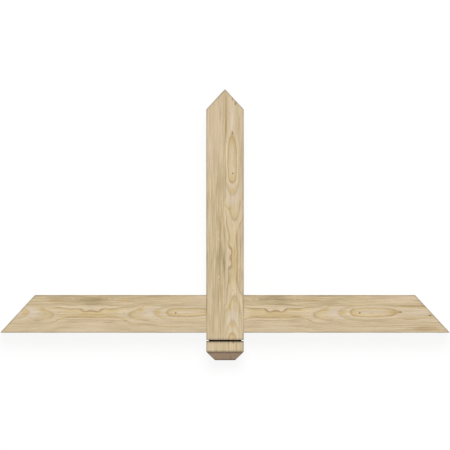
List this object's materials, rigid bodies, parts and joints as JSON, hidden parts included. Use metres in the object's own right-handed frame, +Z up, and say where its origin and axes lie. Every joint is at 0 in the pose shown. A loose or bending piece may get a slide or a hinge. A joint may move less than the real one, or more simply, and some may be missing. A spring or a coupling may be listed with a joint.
{
  "type": "timber gable bracket",
  "caption": "Rough-sawn timber gable bracket: a king post with ridge cuts and a slotted, chamfered foot, lapped flush across a level tie beam whose ends are cut on the roof pitch.",
  "frame": {"origin": "On the back face, the one that goes against the gable wall, where the centre lines of the post and the beam cross.", "axes": "+X runs along the tie beam to the right as seen from the front. +Y runs up the king post towards the ridge. +Z comes out of the front face, away from the wall. The part is stored lying flat on its back, so +Z is up."},
  "size_m": [1.8288, 1.1034, 0.1016],
  "materials": {
    "rough_sawn_timber": "rough sawn, unfinished"
  },
  "bodies": {
    "root": {"king_post": "rough_sawn_timber", "tie_beam": "rough_sawn_timber"}
  },
  "joints": []
}
